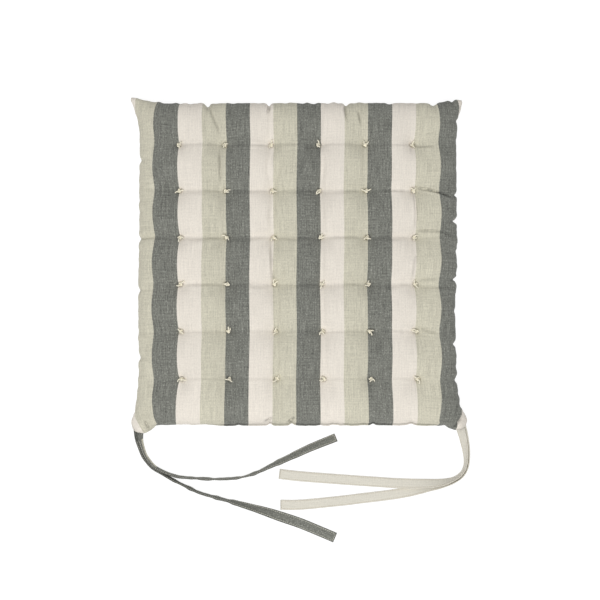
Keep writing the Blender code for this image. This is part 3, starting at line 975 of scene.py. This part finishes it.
def dimple_tufts(points, normals, painted_shade):
    """The small pit that each string pulls into both panels, with painted shade in it."""
    for row in range(1, TUFTS + 1):
        for column in range(1, TUFTS + 1):
            place = np.array(tuft_place(row, column).xy)
            for panel, depth in ((0, TUFT_DIMPLE), (1, 0.4 * TUFT_DIMPLE)):
                near = bump(np.linalg.norm(points[panel, ..., :2] - place, axis=-1), TUFT_DIMPLE_WIDTH)
                points[panel] -= normals[panel] * (depth * near)[..., None]
                np.maximum(painted_shade[panel], TUFT_PAINTED_SHADE * near, out=painted_shade[panel])


def draw_out_ears(points, layout):
    """Some corners reach out past the sides, with blunt tips."""
    for side, end, sideways, endways, tip_back in EARS:
        _, inset_side, out_side = layout[side]
        _, inset_end, out_end = layout[end]
        along_side = bump(inset_end, EAR_LENGTH[end]) * bump(inset_side, EAR_WIDTH)
        at_corner = bump(inset_end, EAR_WIDTH) * bump(inset_side, EAR_WIDTH)
        tip = tip_back * bump(np.hypot(inset_side, inset_end), EAR_TIP)
        points += (sideways * along_side - tip)[..., None] * np.array(out_side)
        points += (endways * at_corner - tip)[..., None] * np.array(out_end)


def gather_lobes(points, layout):
    """Rounds each rear corner where the ties are sewn in, and opens the seam round them."""
    for centre, radius, corner_reach, turn_side, turn_rear in LOBES:
        side = "left" if centre.x < 0 else "right"
        turn_way = -1 if centre.x < 0 else 1
        _, inset_side, _ = layout[side]
        _, inset_rear, _ = layout["rear"]
        # Cloth distance from the corner: negative up the side, positive along the rear.
        from_corner = inset_side - inset_rear
        inset = np.minimum(inset_side, inset_rear)
        share = np.clip(from_corner / LOBE_LENGTH, -1, 1)
        turn = share * np.where(share < 0, turn_side, turn_rear)
        angle = math.radians(270 + 45 * turn_way) - turn_way * turn
        reach = (radius * (1 + corner_reach * bump(share, LOBE_CORNER_SHARE)))[..., None]
        target = np.array(centre) + reach * np.stack([np.cos(angle), np.sin(angle)], axis=-1)
        seam = seam_beside(points[0], side, from_corner)
        fade = np.clip((1.35 - np.abs(from_corner) / LOBE_LENGTH) / 0.35, 0, 1)
        weight = fade * fade * (3 - 2 * fade) * bump(inset, 0.010)
        points[..., :2] += weight[..., None] * (target - seam)
        from_centre = np.linalg.norm(points[..., :2] - np.array(centre), axis=-1)
        swell = LOBE_SWELL * bump(from_centre, 0.0085) * beside_seam(inset, 0.010)
        mouth = MOUTH_HEIGHT * bump(from_corner - MOUTH_PLACE, MOUTH_WIDTH) * bump(inset, 0.008)
        points[0, ..., 2] += swell[0] + mouth
        points[1, ..., 2] -= 0.8 * swell[1] + mouth
    np.maximum(points[..., 2], 0, out=points[..., 2])


def seam_beside(panel, side, from_corner):
    """Where the seam is at each point's distance from the rear corner on this side."""
    edge_column = 0 if side == "left" else -1
    up = panel[:, edge_column, :2]
    along = panel[0, ::1 if side == "left" else -1, :2]
    step = CELL / 2
    path = np.concatenate([up[::-1], along[1:]])
    places = (np.arange(len(path)) - (len(up) - 1)) * step
    return np.stack([np.interp(from_corner, places, path[:, axis]) for axis in range(2)], axis=-1)


def roll_rear(points, layout):
    """Along the rear the seam has rolled in, so that the lower panel stands a little further out."""
    along, inset, out = layout["rear"]
    ends = np.clip((along - REAR_ROLL_FROM) / 0.02, 0, 1) * np.clip((REAR_ROLL_TO - along) / 0.02, 0, 1)
    out = np.array(out)
    points[1] += (ends * REAR_ROLL * beside_seam(inset, 0.004))[..., None] * out
    points[1, ..., 2] += ends * REAR_ROLL_RISE * beside_seam(inset, 0.003)
    points -= (ends * REAR_ROLL_IN * np.exp(-inset / 0.0012))[..., None] * out


def draw_in_sides(points, layout):
    """Some stretches of the sides stand a little further in or out than the rest."""
    for side, middle, half_length, amount, reach in DRAWN_IN:
        along, inset, out = layout[side]
        stretch = np.exp(-((along - middle) / half_length) ** 4)
        points -= (amount * stretch * np.exp(-inset / reach))[..., None] * np.array(out)


def sculpt(points, columns, rows):
    """What sewing and handling leave in the relaxed cloth. Gives the painted shade at each point, 0 to 1: how deep
    in a crease, tuft pit or seam it lies.
    """
    rng = np.random.default_rng(SEED + 2)
    layout = side_layout(columns, rows)
    painted_shade = np.zeros(points.shape[:3])
    gather_seam(points, outward(points), layout, rng)
    roll_rear(points, layout)
    draw_in_sides(points, layout)
    draw_out_ears(points, layout)
    gather_lobes(points, layout)
    for side, (along, inset, out) in layout.items():
        points -= (SEAM_GROOVE * np.exp(-inset / 0.0006))[..., None] * np.array(out)
        # Painted shade along the seam, heavier along the rolled-in stretch of the rear.
        shade = np.where((side == "rear") & (along > REAR_ROLL_FROM), REAR_SEAM_PAINTED_SHADE, SEAM_PAINTED_SHADE)
        np.maximum(painted_shade, shade * bump(inset, SEAM_PAINTED_SHADE_WIDTH), out=painted_shade)
    normals = outward(points)
    dimple_tufts(points, normals, painted_shade)
    crease_rows(points[0], normals[0], painted_shade[0], rng)
    # Folds pressed into the upper panel, with painted shade along each groove, fuller for deeper folds.
    for start, bow, end, depth, width in FOLDS:
        groove = press_fold(points[0], normals[0], start, bow, end, depth, width)
        np.maximum(painted_shade[0], min(1.0, depth / DEEP_FOLD) * groove, out=painted_shade[0])
    np.maximum(points[..., 2], 0, out=points[..., 2])
    return painted_shade


def stripe_coordinates(columns, rows, panel):
    """Cloth coordinates for the stripes: they bow in at each row of strings near the sides."""
    known = [columns[0], STRIPE_START - STRIPE, STRIPE_START + 11 * STRIPE, columns[-1]]
    dyed = [LEFT_SEAM_STRIPE, known[1], known[2], RIGHT_SEAM_STRIPE]
    across, along = np.meshgrid(np.interp(columns, known, dyed), rows)
    pitch = TUFT_CELLS * CELL
    inside = np.clip((along + 0.5 * pitch) / (0.3 * pitch), 0, 1)
    inside = inside * np.clip((5.5 * pitch - along) / (0.3 * pitch), 0, 1)
    wave = np.cos(2 * np.pi * along / pitch) * inside
    across = across - STRIPE_BOW_LEFT * wave * bump(across - known[1], 0.022)
    across = across + STRIPE_BOW_RIGHT * wave * bump(across - known[2], 0.022)
    at_left = across < np.mean(known)
    rear_shift = np.where(at_left, *REAR_STRIPE_SHIFTS) * bump(along - rows[0], REAR_SHIFT_LENGTH)
    front_shift = np.where(at_left, *FRONT_STRIPE_SHIFTS) * bump(rows[-1] - along, FRONT_SHIFT_LENGTH)
    shift = (rear_shift + front_shift) * np.clip((np.abs(across - np.mean(known)) - 0.16) / 0.03, 0, 1)
    across = across + np.where(at_left, -shift, shift)
    drag = np.exp(-(rows[-1] - along) / 0.014) * np.clip(1 - across / 0.12, 0, 1)
    across = across - STRIPE_DRAG * drag
    if panel == 1:
        across = across + UNDERSIDE_SHIFT
    return np.stack([across, along], axis=-1)


def local_relief(fine, normals):
    """How far the fine face dips below each coarse point between it and its neighbours."""
    coarse = fine[::2, ::2]
    rows, columns = coarse.shape[:2]
    padded = np.pad(fine, ((1, 1), (1, 1), (0, 0)), mode="edge")
    dip = np.zeros((rows, columns))
    for down in range(3):
        for right in range(3):
            neighbour = padded[down:down + 2 * rows:2, right:right + 2 * columns:2][:rows, :columns]
            dip = np.maximum(dip, ((coarse - neighbour) * normals).sum(-1))
    return dip[..., None]


def make_panel(name, fine, normals, cloth, painted_shade, material, side):
    """One cover panel as a closed shell: a fine outer face, a turned-in edge, and a coarser inner face."""
    coarse_normals = normals[::2, ::2]
    inner = fine[::2, ::2] - coarse_normals * (CLOTH + local_relief(fine, coarse_normals))
    rows, columns = inner.shape[:2]
    fine_rows, fine_columns = fine.shape[:2]
    ring = ring_index(fine_rows, fine_columns)
    centre = fine.reshape(-1, 3).mean(axis=0)
    edge = fine[ring[:, 0], ring[:, 1]]
    inwards = centre - edge
    inwards[:, 2] = 0
    edge_cloth = cloth[ring[:, 0], ring[:, 1]]
    lip = edge + unit(inwards) * 0.0035 + (0, 0, side * 0.0001)

    points = np.concatenate([fine.reshape(-1, 3), lip, inner.reshape(-1, 3)])
    uv = np.concatenate([cloth.reshape(-1, 2), edge_cloth, cloth[::2, ::2].reshape(-1, 2)])
    painted_shade = np.concatenate([painted_shade.ravel(), painted_shade[ring[:, 0], ring[:, 1]], np.zeros(rows * columns)])
    faces = grid_faces(fine_rows, fine_columns, flip=side < 0)
    first_lip = fine_rows * fine_columns
    first_inner = first_lip + len(ring)
    outer_ring = ring[:, 0] * fine_columns + ring[:, 1]
    coarse = ring_index(rows, columns)
    inner_ring = first_inner + coarse[:, 0] * columns + coarse[:, 1]
    count = len(ring)
    for step in range(count):
        after = (step + 1) % count
        quad = (outer_ring[after], outer_ring[step], first_lip + step, first_lip + after)
        faces.append(tuple(quad) if side > 0 else tuple(quad)[::-1])
    for step in range(len(coarse)):
        after = (step + 1) % len(coarse)
        lips = [first_lip + (2 * step + extra) % count for extra in (2, 1, 0)]
        face = (*lips, inner_ring[step], inner_ring[after])
        faces.append(tuple(face) if side > 0 else tuple(face)[::-1])
    faces += grid_faces(rows, columns, start=first_inner, flip=side > 0)
    faces = [tuple(int(i) for i in face) for face in faces]
    return make_mesh(name, points, faces, uv, material, painted_shade)


def make_wadding(points, material):
    """The fill: a soft closed slab just inside both panels, and short of the seam."""
    kept = slice(WADDING_INSET, -WADDING_INSET, WADDING_STRIDE)
    inner = points[:, kept, kept].copy()
    rows, columns = inner.shape[1:3]
    middle = inner.mean(axis=0)
    for panel, sign in ((0, -1), (1, 1)):
        inner[panel] += (0, 0, sign * WADDING_CLEARANCE)
    inner[0, ..., 2] = np.maximum(inner[0, ..., 2], middle[..., 2] + 0.001)
    inner[1, ..., 2] = np.minimum(inner[1, ..., 2], middle[..., 2] - 0.001)
    size = rows * columns
    flat = inner.reshape(-1, 3)
    uv = flat[:, :2]
    faces = grid_faces(rows, columns) + grid_faces(rows, columns, start=size, flip=True)
    ring = ring_index(rows, columns)
    ring = ring[:, 0] * columns + ring[:, 1]
    for step, index in enumerate(ring):
        after = ring[(step + 1) % len(ring)]
        faces.append((int(after), int(index), int(index) + size, int(after) + size))
    return make_mesh("wadding_fill", flat, faces, uv, material)


def make_covers(materials):
    columns, rows = cloth_lines()
    relaxed = relax_cloth(columns, rows, np.random.default_rng(SEED))
    points = refined(refined(relaxed, 1), 2)
    columns, rows = refined(columns, 0), refined(rows, 0)
    painted_shade = sculpt(points, columns, rows)
    normals = outward(points)
    for panel, name, node, side in ((0, "cover_upper", "top_cover", 1), (1, "cover_lower", "bottom_cover", -1)):
        cloth = stripe_coordinates(columns, rows, panel)
        cotton = materials["striped"]
        piece = make_panel(name, points[panel], normals[panel], cloth, painted_shade[panel], cotton, side)
        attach(piece, BODY)
        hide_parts(node)
    fill = make_wadding(points, materials["fill"])
    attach(fill, BODY)
    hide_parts("wadding")
    return points


# Strings and threads


def tuft_shape(rng):
    """Points and faces of one tuft about its own middle, with the cloth's top at height 0."""
    depth = TUFT_TOP - TUFT_UNDER
    half = HOLE_GAP / 2
    legs = [(-half, 0, 0.0008), (-half, 0, -depth / 2), (-half, 0, -depth - 0.0006)]
    legs += [(0, 0, -depth - 0.0011), (half, 0, -depth - 0.0006), (half, 0, -depth / 2), (half, 0, 0.0008)]
    stitch = smooth_line(legs, 0.0006)
    shapes = [tube(stitch, STRING, 8, plies=2, lay=0.0032)]
    turns = np.linspace(0, 2 * math.pi, 64)
    knot = np.stack([
        (np.sin(turns) + 2 * np.sin(2 * turns)) * 0.00070,
        (np.cos(turns) - 2 * np.cos(2 * turns)) * 0.00070,
        -np.sin(3 * turns) * 0.00070 + 0.0016,
    ], axis=1)
    spin = rng.uniform(0, 2 * math.pi)
    knot = knot @ np.array(Matrix.Rotation(spin, 3, "Z")).T
    shapes.append(tube(knot, STRING, 8, plies=2, lay=0.0032))
    heading = rng.uniform(0, 2 * math.pi)
    opening = math.radians(rng.uniform(60, 170))
    for side in (-1, 1):
        angle = heading + side * opening / 2
        length = rng.uniform(*TAIL_LENGTHS)
        bend = rng.uniform(-1.1, 1.1)
        line = [(0, 0, 0.0022)]
        for share in (0.35, 0.7, 1.0):
            turned = angle + bend * share
            height = 0.0022 + 0.0030 * math.sin(share * math.pi * 0.75) + 0.0006 * share
            line.append((math.cos(turned) * length * share, math.sin(turned) * length * share, height))
        tail = smooth_line(line, 0.0005)
        shapes.append(tube(tail, STRING * 0.95, 8, plies=2, lay=0.0030))
    return joined(shapes)


def smooth_line(places, spacing):
    """The same smooth curve as a tie's, through points in space."""
    places = [Vector(place) for place in places]
    ends = [places[0] * 2 - places[1], *places, places[-1] * 2 - places[-2]]
    fine = []
    for a, b, c, d in zip(ends, ends[1:], ends[2:], ends[3:]):
        for step in range(ROUTE_STEPS):
            t = step / ROUTE_STEPS
            curved = (a * 2 - b * 5 + c * 4 - d) * t**2 + (b * 3 - a - c * 3 + d) * t**3
            fine.append(b + ((c - a) * t + curved) / 2)
    fine.append(places[-1])
    fine = np.array(fine)
    lengths = np.concatenate([[0], np.cumsum(np.linalg.norm(np.diff(fine, axis=0), axis=1))])
    even = np.linspace(0, lengths[-1], max(2, round(lengths[-1] / spacing)) + 1)
    return np.stack([np.interp(even, lengths, fine[:, axis]) for axis in range(3)], axis=1)


def make_tufts(material):
    rng = np.random.default_rng(SEED + 1)
    for row in range(1, TUFTS + 1):
        for column in range(1, TUFTS + 1):
            points, faces, uv = tuft_shape(rng)
            place = tuft_place(row, column) + Vector((0, 0, TUFT_TOP))
            points = np.array(points) + place
            piece = make_mesh(f"string_row{row}_col{column}", points, faces, uv, material)
            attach(piece, BODY)
            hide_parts(tuft_name(row, column))


def make_seam_threads(points, material):
    """Machine stitches round the seam, and slanted hand stitches where the turning gap was closed."""
    ring = ring_index(*points.shape[1:3])
    seam = points[0, ring[:, 0], ring[:, 1]]
    centre = seam.mean(axis=0)
    inwards = centre - seam
    inwards[:, 2] = 0
    line = seam + unit(inwards) * 0.0004
    rear = line[:, 1] < line[:, 1].min() + 0.02
    low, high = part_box("closing_seam_thread")
    in_gap = rear & (line[:, 0] > low.x) & (line[:, 0] < high.x)
    first, count = int(np.argmax(in_gap)), int(in_gap.sum())
    machine = np.concatenate([line[first + count - 1:], line[:first + 1]])
    hand = line[first:first + count]

    machine = smooth_line(machine[::2], 0.0007)
    lengths = np.concatenate([[0], np.cumsum(np.linalg.norm(np.diff(machine, axis=0), axis=1))])
    machine[:, 2] += 0.00035 * np.sin(2 * math.pi * lengths / 0.0028)
    shape = tube(machine, 0.00022, 5)
    piece = make_mesh("seam_stitches", *shape, material)
    finish_thread(piece, "edge_seam_thread")

    hand = smooth_line(hand[::2], 0.0040)
    shapes = []
    for before, after in zip(hand, hand[1:]):
        out = unit(before - centre) * 0.0006
        start = before + out + (0, 0, -0.0013)
        end = before + (after - before) * 0.45 + out + (0, 0, 0.0013)
        middle = (start + end) / 2 + out * 0.6
        shapes.append(tube(smooth_line([start, middle, end], 0.0005), 0.00024, 6, plies=2, lay=0.0015))
    piece = make_mesh("closing_stitches", *joined(shapes), material)
    finish_thread(piece, "closing_seam_thread")


def finish_thread(piece, node):
    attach(piece, BODY)
    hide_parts(node)


def make_materials():
    return {
        "striped": striped_cotton(),
        "charcoal_tape": tape_cotton("charcoal_tape_weave", CHARCOAL, 1.6, 0.30, flecks=0.25),
        "charcoal_pale_edge_tape": tape_cotton(
            "charcoal_tape_weave_pale_edge", CHARCOAL, 1.6, 0.30, flecks=0.25, pale_edge=PALE_EDGE,
        ),
        "cream_tape": tape_cotton("cream_tape_weave", CREAM_TAPE, 0.34, 0.05),
        "charcoal_thread": twisted_yarn("charcoal_thread_yarn", linear(214, 212, 198), 0.3),
        "cream_thread": twisted_yarn("cream_thread_yarn", linear(204, 195, 177), 0.2),
        "string": twisted_yarn("ecru_string_yarn", ECRU, 0.5),
        "fill": fibre_fill(),
        "floor": pale_floor(),
    }


def main():
    materials = make_materials()
    make_camera()
    make_studio(materials["floor"])
    make_ties(materials)
    points = make_covers(materials)
    make_tufts(materials["string"])
    make_seam_threads(points, materials["cream_thread"])


main()
